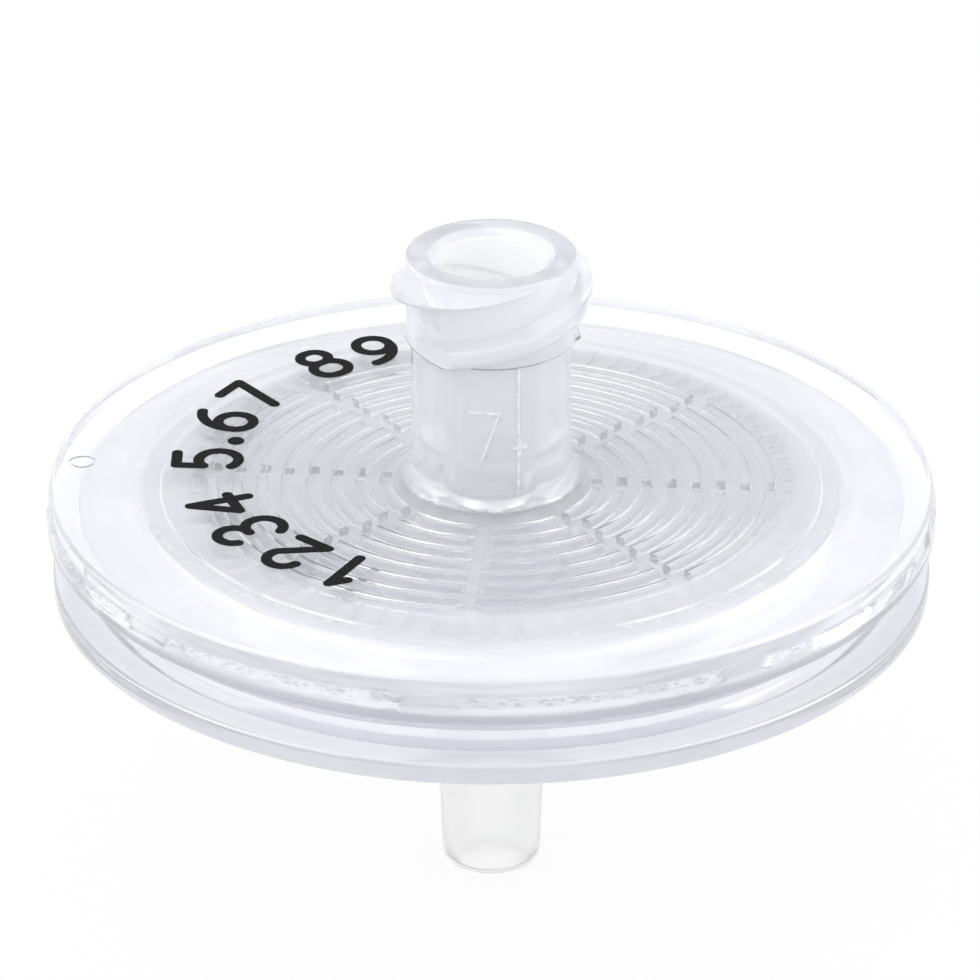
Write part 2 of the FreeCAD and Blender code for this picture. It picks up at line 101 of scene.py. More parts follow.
class FlangeSizes(bpy.types.PropertyGroup):
    """Rims, walls and plate of the two halves."""

    flange_radius: length("Flange radius", 17.25, "Both flanges, less the proud band")
    lip_height: length("Lip height", 0.65, "Upper flange above its proud band")
    band_chamfer: length("Band chamfer", 0.3, "Lower edge of the proud band")
    upper_thickness: length("Upper flange", 1.88, "Upper flange from groove to deck")
    groove_width: length("Groove", 1.66, "Open groove between the flanges")
    lower_thickness: length("Lower flange", 0.75, "Lower flange, top to bottom")
    waist_radius: length("Waist radius", 16.0, "Wall in the groove")
    skirt_wall: length("Skirt wall", 3.0, "Waist to the recess underneath")
    floor_thickness: length("Floor", 1.2, "Outlet plate under the ribs")
    plate_thickness: length("Plate", 0.7, "Inlet plate over the rings")
    rib_height: length("Rib height", 0.4, "Support ribs under the membrane")
    chamber_radius: length("Chamber radius", 13.75, "Socket of the inlet half")
    clamp_width: length("Clamp width", 0.85, "Ring that clamps the membrane")
    plateau_clearance: length("Plateau clearance", 0.05, "Socket wall to the outlet plateau")
    edge_round: length("Edge rounding", 0.18, "Outer edges of the flanges")
    small_round: length("Small rounding", 0.06, "Every other moulded edge")
    flash_depth: length("Flash depth", 0.1, "Roughness of the moulded seam on the band")
    flash_height: length("Flash height", 0.5, "Height of the rough seam")
    seam_gap: length("Seam gap", 0.01, "Air between faces that touch")
    window_count: IntProperty(name="Windows", description="Smooth windows in the seam", default=9, min=1)
    window_angle: angle("Window angle", 7.0, "Each smooth window")
    window_start: angle("Window start", -17.5, "Azimuth of the first window")
    window_height: length("Window height", 0.45, "Each smooth window")
    gate_inset: length("Gate inset", 1.15, "Flange's edge to the middle of the gate mark")
    gate_azimuth: angle("Gate azimuth", 177, "Gate mark round the axis")
    gate_radius: length("Gate radius", 0.55, "Outside of the gate mark")
    gate_width: length("Gate width", 0.14, "Ring of the gate mark")
    gate_depth: length("Gate depth", 0.05, "Ring of the gate mark")


class HubSizes(bpy.types.PropertyGroup):
    """Hub with the luer socket and lugs."""

    tube_radius: length("Tube radius", 3.1, "Hub below the collar")
    foot_round: length("Foot fillet", 0.7, "Fillet at the foot of the hub")
    collar_radius: length("Collar radius", 3.315, "Collar")
    collar_step: length("Collar step", 5.92, "Deck to the collar's lower step")
    rim_round: length("Rim rounding", 0.15, "Outer edge of the hub's rim")
    socket_radius: length("Socket radius", 2.16, "Luer socket at the rim")
    socket_depth: length("Socket depth", 8.3, "Luer socket")
    taper: FloatProperty(name="Taper", description="Luer cone, diameter over length", default=0.06)
    mouth_chamfer: length("Mouth chamfer", 0.36, "Lead-in of the socket")
    mouth_depth: length("Mouth depth", 0.3, "Height of the lead-in")
    hole_radius: length("Inlet hole", 1.25, "Hole from the socket to the chamber")
    lug_lead: length("Lug lead", 5.0, "Rise of a lug in one turn")
    lug_mid: length("Lug height", 7.98, "Deck to the crest where it faces sideways")
    lug_span: length("Lug span", 7.8, "Across the two lugs")
    lug_crest: length("Lug crest", 0.6, "Width of the crest")
    lug_foot: length("Lug foot", 1.2, "Width at the collar")
    lug_root: length("Lug root", 0.3, "Depth of the lug's root in the collar")
    lug_round: length("Lug rounding", 0.14, "Edges of the crest")
    lug_end_fall: length("Lug end fall", 0.6, "Fall of a lug's upper end from the collar to its crest")
    lug_start: angle("Lug start", 20, "Azimuth where a lug starts to rise from the collar")
    start_shift: length("Start shift", 3.0, "Axis to the centre of the round that cuts a lug's lower end")
    start_height: length("Start height", 1.3, "Height of that round, up from the collar's step")


class PatternSizes(bpy.types.PropertyGroup):
    """Rings, channels and ticks under the inlet plate, and ribs under the membrane."""

    ring_count: IntProperty(name="Rings", description="Rings under the inlet plate", default=8, min=1)
    ring_start: length("Ring start", 3.9, "Inside of the first ring")
    ring_pitch: length("Ring pitch", 0.965, "Ring to ring")
    ring_width: length("Ring width", 0.45, "Each ring")
    ring_round: length("Ring rounding", 0.05, "Lower edges of a ring")
    spoke_count: IntProperty(name="Channels", description="Channels across the rings", default=8, min=1)
    spoke_start: angle("Channel start", -4.5, "Azimuth of the first channel")
    narrow_channel: length("Narrow channel", 0.5, "Channel across the even rings")
    wide_channel: length("Wide channel", 0.95, "Channel across the odd rings")
    tick_count: IntProperty(name="Ticks", description="Short ribs outside the rings", default=72, min=1)
    tick_gap: length("Tick gap", 0.25, "Outer ring to the ticks")
    tick_length: length("Tick length", 1.2, "Each tick")
    tick_width: length("Tick width", 0.18, "Each tick")
    tick_height: length("Tick height", 0.15, "Each tick, down from the plate")
    rib_count: IntProperty(name="Ribs", description="Support ribs under the membrane", default=9, min=1)
    rib_start: length("Rib start", 3.0, "Inside of the first support rib")
    rib_pitch: length("Rib pitch", 1.05, "Rib to rib")
    rib_width: length("Rib width", 0.5, "Each support rib")
    rib_channel: length("Rib channel", 0.8, "Channel across the support ribs")
    rib_channel_count: IntProperty(name="Rib channels", description="Across the ribs", default=6, min=1)


class SpigotSizes(bpy.types.PropertyGroup):
    """Luer spigot of the outlet half."""

    tip_radius: length("Tip radius", 1.965, "Luer spigot at its end")
    cone_length: length("Cone length", 8.0, "Luer cone of the spigot")
    neck_radius: length("Neck radius", 3.2, "Spigot above the cone")
    neck_slope: length("Neck slope", 0.8, "Height of the slope up to the neck")
    hole_radius: length("Outlet hole", 1.225, "Hole through the spigot")
    tip_round: length("Tip rounding", 0.2, "Rounding of the spigot's end")


class MarkSizes(bpy.types.PropertyGroup):
    """Marks that the mould leaves on the hub."""

    stroke_width: length("Stroke width", 0.09, "Strokes of the mould number")
    stroke_proud: length("Stroke height", 0.05, "Strokes above the hub")
    number_azimuth: angle("Number azimuth", 265, "Middle of the mould number")
    number_foot: length("Number foot", 1.8, "Deck to the number's foot")
    number_height: length("Number height", 2.2, "Mould number")
    number_width: length("Number width", 1.15, "Mould number")
    cross_azimuth: angle("Cross azimuth", 291, "Small cross")
    cross_middle: length("Cross height", 2.45, "Deck to the middle of the cross")
    cross_width: length("Cross width", 0.5, "Small cross")
    parting_azimuth: angle("Parting azimuth", 289.4, "Parting line of the mould")
    parting_foot: length("Parting foot", 0.35, "Deck to the foot of the parting line")
    parting_width: length("Parting width", 0.09, "Parting line")


class FinishSettings(bpy.types.PropertyGroup):
    """Colours, milkiness and gloss."""

    plastic: colour("Plastic", (0.875, 0.888, 0.935), "Natural moulded plastic")
    # Painted shade: the darker colour laid on the plastic under edges, at the hub's foot, in the seam and on
    # the collar and rim.
    painted_shade: colour("Deep edge", (0.35, 0.36, 0.41), "Plastic where light is caught under an edge")
    # Painted light: brighter plastic in the groove, standing in for light coming through the plastic where the
    # groove lies in shade.
    groove: colour("Groove", (0.93, 0.935, 1.0), "Plastic in the groove")
    clear: colour("Clear", (0.995, 0.997, 1.0), "Plastic of the socket and the spigot")
    plate_haze: share("Plate haze", 0.2, "Milkiness of the thin plate")
    rim_haze: share("Rim haze", 0.4, "Milkiness of the plate outside the rings")
    deck_haze: share("Deck haze", 0.58, "Milkiness of the deck at the flange")
    wall_haze: share("Wall haze", 0.6, "Milkiness of the upper flange's wall")
    chamfer_haze: share("Chamfer haze", 0.9, "Milkiness of the upper flange's lower edge")
    groove_haze: share("Groove haze", 0.5, "Milkiness of the groove and the lower flange")
    hub_haze: share("Hub haze", 0.66, "Milkiness of the hub")
    socket_haze: share("Socket haze", 0.7, "Milkiness of the socket")
    plastic_gloss: share("Plastic roughness", 0.06, "Roughness of the clear moulded faces")
    hub_gloss: share("Hub roughness", 0.15, "Roughness of the hub")
    spigot_gloss: share("Spigot roughness", 0.32, "Roughness of the spigot")
    marks: colour("Marks", (0.98, 0.985, 1.0), "Flash of the mould's joints")
    dull_marks: colour("Dull marks", (0.8, 0.82, 0.88), "Duller spots of the flash")
    membrane: colour("Membrane", (0.97, 0.973, 0.985), "Membrane")
    ink: colour("Ink", (0.006, 0.006, 0.007), "Printed ink")


class StudioSettings(bpy.types.PropertyGroup):
    """Floor, lights and camera."""

    floor: colour("Floor", (0.9, 0.9, 0.9), "Studio floor")
    floor_white: share("Floor white", 0.95, "Share of white where the floor is seen directly")
    daylight: colour("Daylight", (0.98, 0.985, 1.0), "Plain light of the studio")
    daylight_strength: FloatProperty(name="Daylight", description="Plain light", default=1.04, min=0)
    key_width: length("Key width", 500, "Side of both lamps")
    key_power: FloatProperty(name="Key power", description="Left lamp, watts", default=0.62, min=0)
    fill_power: FloatProperty(name="Fill power", description="Right lamp, watts", default=0.5, min=0)
    lens: FloatProperty(name="Lens", description="Focal length, mm", default=193.2, min=1)
    elevation: angle("Elevation", 26.26, "Camera above the horizon")
    distance: length("Distance", 206, "Camera to the middle of the deck")
    aim_left: length("Aim left", 0.055, "Middle of the picture, left of the axis")
    aim_below: length("Aim below", 0.81, "Middle of the picture, below the deck")


def settings():
    """The scene's own settings for this object."""
    return bpy.context.scene.filter_settings


def rounded_outline(mesh, corners):
    """Closed outline in the XZ plane from (radius, height, rounding) corners."""
    points = [mesh.verts.new((radius, 0, height)) for radius, height, _ in corners]
    for first, second in zip(points, points[1:] + points[:1]):
        mesh.edges.new((first, second))
    for point, (_, _, rounding) in zip(points, corners):
        if rounding > 0:
            bmesh.ops.bevel(
                mesh, geom=[point], offset=rounding, offset_type="OFFSET", segments=4, profile=0.5,
                affect="VERTICES", material=-1, clamp_overlap=False,
            )


def spin_full(mesh, steps):
    """Turn everything in the mesh once round the Z axis, a sector at a time."""
    bmesh.ops.spin(
        mesh, geom=mesh.verts[:] + mesh.edges[:], cent=(0, 0, 0), axis=UP, dvec=(0, 0, 0),
        angle=TURN / SECTORS, steps=steps // SECTORS, use_merge=False, use_duplicate=False,
    )
    repeat_round(mesh, SECTORS)
    bmesh.ops.remove_doubles(mesh, verts=mesh.verts[:], dist=1e-7)
    bmesh.ops.recalc_face_normals(mesh, faces=mesh.faces[:])


def sweep(corners, start, sweep_angle, steps, rise=0.0):
    """Mesh of an outline turned part of the way round, closed at both ends."""
    mesh = bmesh.new()
    rounded_outline(mesh, corners)
    bmesh.ops.rotate(mesh, verts=mesh.verts[:], cent=(0, 0, 0), matrix=Matrix.Rotation(start, 3, "Z"))
    first = mesh.edges[:]
    swept = bmesh.ops.spin(
        mesh, geom=mesh.verts[:] + mesh.edges[:], cent=(0, 0, 0), axis=UP, dvec=(0, 0, rise / steps),
        angle=sweep_angle, steps=steps, use_merge=False, use_duplicate=False,
    )
    last = [item for item in swept["geom_last"] if isinstance(item, bmesh.types.BMEdge)]
    bmesh.ops.contextual_create(mesh, geom=first)
    bmesh.ops.contextual_create(mesh, geom=last)
    bmesh.ops.recalc_face_normals(mesh, faces=mesh.faces[:])
    return mesh


def append(target, source):
    """Move a mesh into another and free it."""
    data = bpy.data.meshes.new("part")
    source.to_mesh(data)
    source.free()
    target.from_mesh(data)
    bpy.data.meshes.remove(data)


def repeat_round(mesh, count):
    """Copies of the whole mesh at even steps round the axis."""
    original = mesh.verts[:] + mesh.edges[:] + mesh.faces[:]
    for number in range(1, count):
        copied = bmesh.ops.duplicate(mesh, geom=original)["geom"]
        verts = [item for item in copied if isinstance(item, bmesh.types.BMVert)]
        turn = Matrix.Rotation(TURN * number / count, 3, "Z")
        bmesh.ops.rotate(mesh, verts=verts, cent=(0, 0, 0), matrix=turn)


def link_mesh(name, mesh):
    """Object from a finished bmesh."""
    data = bpy.data.meshes.new(name)
    mesh.to_mesh(data)
    mesh.free()
    piece = bpy.data.objects.new(name, data)
    bpy.context.scene.collection.objects.link(piece)
    return piece


def combine(piece, other, operation):
    """Union of a closed shape with another, or their difference."""
    modifier = piece.modifiers.new("combine", "BOOLEAN")
    modifier.operation = operation
    modifier.solver = "MANIFOLD"
    modifier.object = other
    graph = bpy.context.evaluated_depsgraph_get()
    joined = bpy.data.meshes.new_from_object(piece.evaluated_get(graph))
    joined.materials.clear()
    piece.modifiers.clear()
    plain = piece.data
    piece.data = joined
    joined.name = piece.name
    bpy.data.meshes.remove(plain)
    bpy.data.objects.remove(other)


def shade_moulded(piece, sharp_degrees):
    """Smooth faces with sharp edges above an angle."""
    mesh = bmesh.new()
    mesh.from_mesh(piece.data)
    bmesh.ops.remove_doubles(mesh, verts=mesh.verts[:], dist=1e-7)
    for face in mesh.faces:
        face.smooth = True
    limit = math.radians(sharp_degrees)
    for edge in mesh.edges:
        edge.smooth = edge.is_manifold and edge.calc_face_angle(0) < limit
    mesh.to_mesh(piece.data)
    mesh.free()


def bar(low, high, inside, outside, rounding):
    """Corners of a rectangular section with its lower edges rounded."""
    return [(inside, low, rounding), (outside, low, rounding), (outside, high, 0), (inside, high, 0)]


def add_arc_bars(target, section, radius, gap, count, start):
    """Arc-shaped bars between channels, one for each channel."""
    half_gap = math.asin(gap / 2 / radius)
    open_angle = TURN / count - 2 * half_gap
    steps = max(6, round(math.degrees(open_angle) / 1.5))
    bars = sweep(section, start + half_gap, open_angle, steps)
    repeat_round(bars, count)
    append(target, bars)


def add_rings(target):
    """Concentric rings under the inlet plate, in sectors between the channels."""
    sizes = settings().pattern
    ceiling = DECK - settings().flange.plate_thickness
    for number in range(sizes.ring_count):
        inside = sizes.ring_start + number * sizes.ring_pitch
        outside = inside + sizes.ring_width
        gap = sizes.wide_channel if number % 2 else sizes.narrow_channel
        under = MEMBRANE_TOP + settings().flange.seam_gap
        section = bar(under, ceiling + sizes.ring_round, inside, outside, sizes.ring_round)
        add_arc_bars(target, section, (inside + outside) / 2, gap, sizes.spoke_count, sizes.spoke_start)


def cut_lug_starts(lugs, step):
    """Rounds, off centre, that let the lugs rise slowly out of the collar above its step."""
    sizes = settings().hub
    inside = sizes.collar_radius + sizes.start_shift
    outside = inside + sizes.lug_foot
    low = step - 0.5 * MM
    high = step + sizes.start_height
    round_cut = bmesh.new()
    rounded_outline(round_cut, [(inside, low, 0), (outside, low, 0), (outside, high, 0), (inside, high, 0)])
    spin_full(round_cut, 360)
    shift = sizes.start_shift * Vector((math.cos(sizes.lug_start), math.sin(sizes.lug_start), 0))
    bmesh.ops.translate(round_cut, verts=round_cut.verts[:], vec=shift)
    other = round_cut.copy()
    bmesh.ops.translate(other, verts=other.verts[:], vec=-2 * shift)
    combine(lugs, link_mesh("lug_start", round_cut), "DIFFERENCE")
    combine(lugs, link_mesh("other_lug_start", other), "DIFFERENCE")


def lug_solids():
    """Two helical lugs, rising out of the collar above its step and sloped off under the rim."""
    sizes = settings().hub
    step = DECK + sizes.collar_step
    start_height = step - sizes.lug_foot / 2
    rise = RIM + sizes.lug_foot / 2 - start_height
    start = math.pi - TURN * (DECK + sizes.lug_mid - start_height) / sizes.lug_lead
    root = sizes.collar_radius - sizes.lug_root
    crest = sizes.lug_span / 2
    foot = sizes.lug_foot / 2
    half = sizes.lug_crest / 2
    section = [
        (root, start_height - foot, 0),
        (sizes.collar_radius, start_height - foot, 0),
        (crest, start_height - half, sizes.lug_round),
        (crest, start_height + half, sizes.lug_round),
        (sizes.collar_radius, start_height + foot, 0),
        (root, start_height + foot, 0),
    ]
    turned = TURN * rise / sizes.lug_lead
    lug = sweep(section, start, turned, round(math.degrees(turned) / 2), rise)
    everything = lug.verts[:] + lug.edges[:] + lug.faces[:]
    cut = bmesh.ops.bisect_plane(lug, geom=everything, plane_co=(0, 0, step), plane_no=-UP, clear_outer=True)
    rim = [item for item in cut["geom_cut"] if isinstance(item, bmesh.types.BMEdge)]
    bmesh.ops.contextual_create(lug, geom=rim)
    bmesh.ops.recalc_face_normals(lug, faces=lug.faces[:])
    repeat_round(lug, 2)
    lugs = link_mesh("hub_lugs", lug)
    shoulder = RIM - 2 * sizes.rim_round
    reach = crest - sizes.collar_radius
    beyond = crest + sizes.lug_foot
    fall = sizes.lug_end_fall * (beyond - sizes.collar_radius) / reach
    top = RIM + 2 * sizes.lug_foot
    above = bmesh.new()
    rounded_outline(above, [
        (root / 2, shoulder, 0), (sizes.collar_radius, shoulder, 0), (beyond, shoulder - fall, 0),
        (beyond, top, 0), (root / 2, top, 0),
    ])
    spin_full(above, 240)
    combine(lugs, link_mesh("lug_limit", above), "DIFFERENCE")
    cut_lug_starts(lugs, step)
    return lugs


def inlet_outline():
    """Section of the inlet half."""
    flange = settings().flange
    hub = settings().hub
    tiny = flange.small_round
    ceiling = DECK - flange.plate_thickness
    roof = DECK - flange.upper_thickness
    lip = DECK - flange.lip_height
    step = DECK + hub.collar_step
    socket_floor = RIM - hub.socket_depth
    mouth_floor = RIM - hub.mouth_depth
    socket_end = hub.socket_radius - hub.socket_depth * hub.taper / 2
    mouth_end = hub.socket_radius - hub.mouth_depth * hub.taper / 2
    clamp = flange.chamber_radius - flange.clamp_width
    return [
        (hub.hole_radius, ceiling, tiny),
        (clamp, ceiling, tiny),
        (clamp, MEMBRANE_TOP + flange.seam_gap, tiny),
        (flange.chamber_radius, MEMBRANE_TOP + flange.seam_gap, tiny),
        (flange.chamber_radius, WELD + flange.seam_gap, 0),
        (flange.waist_radius, WELD + flange.seam_gap, 0),
        (flange.waist_radius, roof, tiny),
        (BAND_RADIUS - flange.band_chamfer, roof, tiny),
        (BAND_RADIUS, roof + flange.band_chamfer, tiny),
        (BAND_RADIUS, lip - flange.flash_height, 0),
        (BAND_RADIUS, lip - flange.window_height + 0.005 * MM, 0),
        (BAND_RADIUS, lip - flange.flash_height / 2, 0),
        (BAND_RADIUS, lip, 0.5 * tiny),
        (flange.flange_radius, lip, 0.5 * tiny),
        (flange.flange_radius, DECK, flange.edge_round),
        (hub.tube_radius, DECK, hub.foot_round),
        (hub.tube_radius, step, 0.5 * tiny),
        (hub.collar_radius, step, tiny),
        (hub.collar_radius, RIM, hub.rim_round),
        (hub.socket_radius + hub.mouth_chamfer, RIM, 0.15 * MM),
        (mouth_end, mouth_floor, 0.1 * MM),
        (socket_end, socket_floor, tiny),
        (hub.hole_radius, socket_floor, tiny),
    ]


def roughen_flash(mesh):
    """Uneven moulded seam along the top of the proud band, and the smooth windows in it."""
    sizes = settings().flange
    lip = DECK - sizes.lip_height
    step = BAND_RADIUS - sizes.flange_radius
    pitch = TURN / sizes.window_count
    for point in mesh.verts:
        radius = math.hypot(point.co.x, point.co.y)
        below = lip - point.co.z
        on_seam = -0.01 * MM < below < sizes.flash_height + 0.01 * MM
        if radius < sizes.flange_radius + 0.3 * step or not on_seam:
            continue
        azimuth = math.atan2(point.co.y, point.co.x)
        from_window = (azimuth - sizes.window_start + pitch / 2) % pitch - pitch / 2
        outward = Vector((point.co.x, point.co.y, 0)).normalized()
        window = min(1, max(0, 3 - 3 * abs(from_window) / (0.6 * sizes.window_angle)))
        if window > 0:
            if below < sizes.window_height:
                point.co -= outward * (radius - sizes.flange_radius) * window ** 2 * (3 - 2 * window)
            continue
        wander = noise.noise(point.co * 900) + 0.6 * noise.noise(point.co * 2600)
        depth = sizes.flash_depth * min(1, max(0, 0.5 + 0.6 * wander)) * (1 - below / sizes.flash_height)
        point.co -= outward * depth


def gate_ring():
    """Ring that the gate mark takes out of the deck."""
    sizes = settings().flange
    inside = sizes.gate_radius - sizes.gate_width
    low = DECK - sizes.gate_depth
    high = DECK + sizes.gate_depth
    ring = bmesh.new()
    rounded_outline(ring, [
        (inside, low, 0), (sizes.gate_radius, low, 0), (sizes.gate_radius, high, 0), (inside, high, 0),
    ])
    spin_full(ring, 48)
    distance = sizes.flange_radius - sizes.gate_inset
    place = Vector((distance * math.cos(sizes.gate_azimuth), distance * math.sin(sizes.gate_azimuth), 0))
    bmesh.ops.translate(ring, verts=ring.verts[:], vec=place)
    return link_mesh("gate_ring", ring)


class FILTER_OT_inlet_housing(bpy.types.Operator):
    """Clear upper half: flange, plate with its rings, hub, socket and lugs"""

    bl_idname = "filter.inlet_housing"
    bl_label = "Inlet Housing"

    def execute(self, context):
        shell = bmesh.new()
        rounded_outline(shell, inlet_outline())
        spin_full(shell, 600)
        roughen_flash(shell)
        piece = link_mesh("inlet_shell", shell)
        extras = bmesh.new()
        add_rings(extras)
        combine(piece, link_mesh("inlet_extras", extras), "UNION")
        combine(piece, lug_solids(), "UNION")
        combine(piece, gate_ring(), "DIFFERENCE")
        shade_moulded(piece, 32)
        piece.data.materials.append(plastic_material())
        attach(piece, "root")
        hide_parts("inlet_housing")
        return {"FINISHED"}


def outlet_outline():
    """Section of the outlet half."""
    flange = settings().flange
    spigot = settings().spigot
    tiny = flange.small_round
    roof = DECK - flange.upper_thickness
    floor = roof - flange.groove_width
    under = floor - flange.lower_thickness
    support = MEMBRANE_UNDER - flange.rib_height
    recess = support - flange.floor_thickness
    skirt = flange.waist_radius - flange.skirt_wall
    plateau = flange.chamber_radius - flange.plateau_clearance
    clamp = flange.chamber_radius - flange.clamp_width
    cone_end = spigot.tip_radius + spigot.cone_length * settings().hub.taper / 2
    return [
        (spigot.hole_radius, 0, 0.1 * MM),
        (spigot.tip_radius, 0, spigot.tip_round),
        (cone_end, spigot.cone_length, tiny),
        (spigot.neck_radius, spigot.cone_length + spigot.neck_slope, tiny),
        (spigot.neck_radius, recess, 0.4 * MM),
        (skirt, recess, 0.3 * MM),
        (skirt, under, tiny),
        (flange.flange_radius, under, tiny),
        (flange.flange_radius, floor, flange.edge_round),
        (flange.waist_radius, floor, tiny),
        (flange.waist_radius, WELD, 0),
        (plateau, WELD, 0),
        (plateau, MEMBRANE_UNDER - flange.seam_gap, tiny),
        (clamp, MEMBRANE_UNDER - flange.seam_gap, tiny),
        (clamp, support, tiny),
        (spigot.hole_radius, support, tiny),
    ]


def add_support_ribs(target):
    """Ribs that carry the membrane."""
    sizes = settings().pattern
    top = MEMBRANE_UNDER - settings().flange.seam_gap
    support = MEMBRANE_UNDER - settings().flange.rib_height
    for number in range(sizes.rib_count):
        inside = sizes.rib_start + number * sizes.rib_pitch
        outside = inside + sizes.rib_width
        root = support - sizes.ring_round
        section = [
            (inside, root, 0),
            (outside, root, 0),
            (outside, top, sizes.ring_round),
            (inside, top, sizes.ring_round),
        ]
        middle = (inside + outside) / 2
        add_arc_bars(target, section, middle, sizes.rib_channel, sizes.rib_channel_count, sizes.spoke_start)


class FILTER_OT_outlet_housing(bpy.types.Operator):
    """Clear lower half: flange, waist, membrane support and luer spigot"""

    bl_idname = "filter.outlet_housing"
    bl_label = "Outlet Housing"

    def execute(self, context):
        shell = bmesh.new()
        rounded_outline(shell, outlet_outline())
        spin_full(shell, 360)
        piece = link_mesh("outlet_shell", shell)
        extras = bmesh.new()
        add_support_ribs(extras)
        combine(piece, link_mesh("outlet_extras", extras), "UNION")
        shade_moulded(piece, 32)
        piece.data.materials.append(plastic_material())
        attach(piece, "root")
        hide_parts("outlet_housing")
        return {"FINISHED"}


class Graph:
    """Node tree, with short ways to add what it is made of."""

    def __init__(self, tree):
        self.nodes = tree.nodes
        self.link = tree.links.new

    def feed(self, socket, source):
        """Give a socket a value or another node's output."""
        if isinstance(source, bpy.types.NodeSocket):
            self.link(source, socket)
        else:
            socket.default_value = source

    def place(self):
        """Place on the object, in metres."""
        return self.nodes.new("ShaderNodeTexCoord").outputs["Object"]

    def calculate(self, operation, *sources):
        """Result of a sum on numbers, taken in turn."""
        result = sources[0]
        for source in sources[1:]:
            node = self.nodes.new("ShaderNodeMath")
            node.operation = operation
            self.feed(node.inputs[0], result)
            self.feed(node.inputs[1], source)
            result = node.outputs["Value"]
        return result

    def highest(self, *sources):
        """Greatest of some numbers."""
        return self.calculate("MAXIMUM", *sources)

    def product(self, *sources):
        """Numbers multiplied."""
        return self.calculate("MULTIPLY", *sources)

    def ramp(self, source, low, high, first, last):
        """Smooth change from one number to another while the source goes from low to high."""
        node = self.nodes.new("ShaderNodeMapRange")
        node.interpolation_type = "SMOOTHSTEP"
        for name, number in zip(("From Min", "From Max", "To Min", "To Max"), (low, high, first, last)):
            self.feed(node.inputs[name], number)
        self.link(source, node.inputs["Value"])
        return node.outputs["Result"]

    def blend(self, share_source, first, last):
        """Number that goes from one to another with a share."""
        node = self.nodes.new("ShaderNodeMix")
        self.feed(node.inputs[2], first)
        self.feed(node.inputs[3], last)
        self.link(share_source, node.inputs[0])
        return node.outputs[0]

    def between(self, source, low, high, soft):
        """1 between two numbers and 0 outside them, with soft ends."""
        rising = self.ramp(source, low - soft, low + soft, 0.0, 1.0)
        falling = self.ramp(source, high - soft, high + soft, 1.0, 0.0)
        return self.product(rising, falling)

    def scaled(self, place, scale):
        """Place multiplied along each axis."""
        node = self.nodes.new("ShaderNodeVectorMath")
        node.operation = "MULTIPLY"
        node.inputs[1].default_value = scale
        self.link(place, node.inputs[0])
        return node.outputs["Vector"]

    def grain(self, place, scale, detail=2.0):
        """Noise of a given number of grains per metre."""
        node = self.nodes.new("ShaderNodeTexNoise")
        node.inputs["Scale"].default_value = scale
        node.inputs["Detail"].default_value = detail
        self.link(place, node.inputs["Vector"])
        return node.outputs["Fac"]

    def mix(self, share_source, first, second):
        """Mix of two colours, each of them plain or another node's output."""
        node = self.nodes.new("ShaderNodeMix")
        node.data_type = "RGBA"
        for socket, source in ((6, first), (7, second)):
            plain = not isinstance(source, bpy.types.NodeSocket)
            self.feed(node.inputs[socket], (*source, 1) if plain else source)
        self.link(share_source, node.inputs[0])
        return node.outputs[2]

    def bump(self, shader, height, strength, distance):
        """Small relief on a shader."""
        node = self.nodes.new("ShaderNodeBump")
        node.inputs["Strength"].default_value = strength
        node.inputs["Distance"].default_value = distance
        self.link(height, node.inputs["Height"])
        self.link(node.outputs["Normal"], shader.inputs["Normal"])


def make_material(name):
    """Node material with its graph and shader."""
    material = bpy.data.materials.new(name)
    material.use_nodes = True
    return material, Graph(material.node_tree), material.node_tree.nodes["Principled BSDF"]


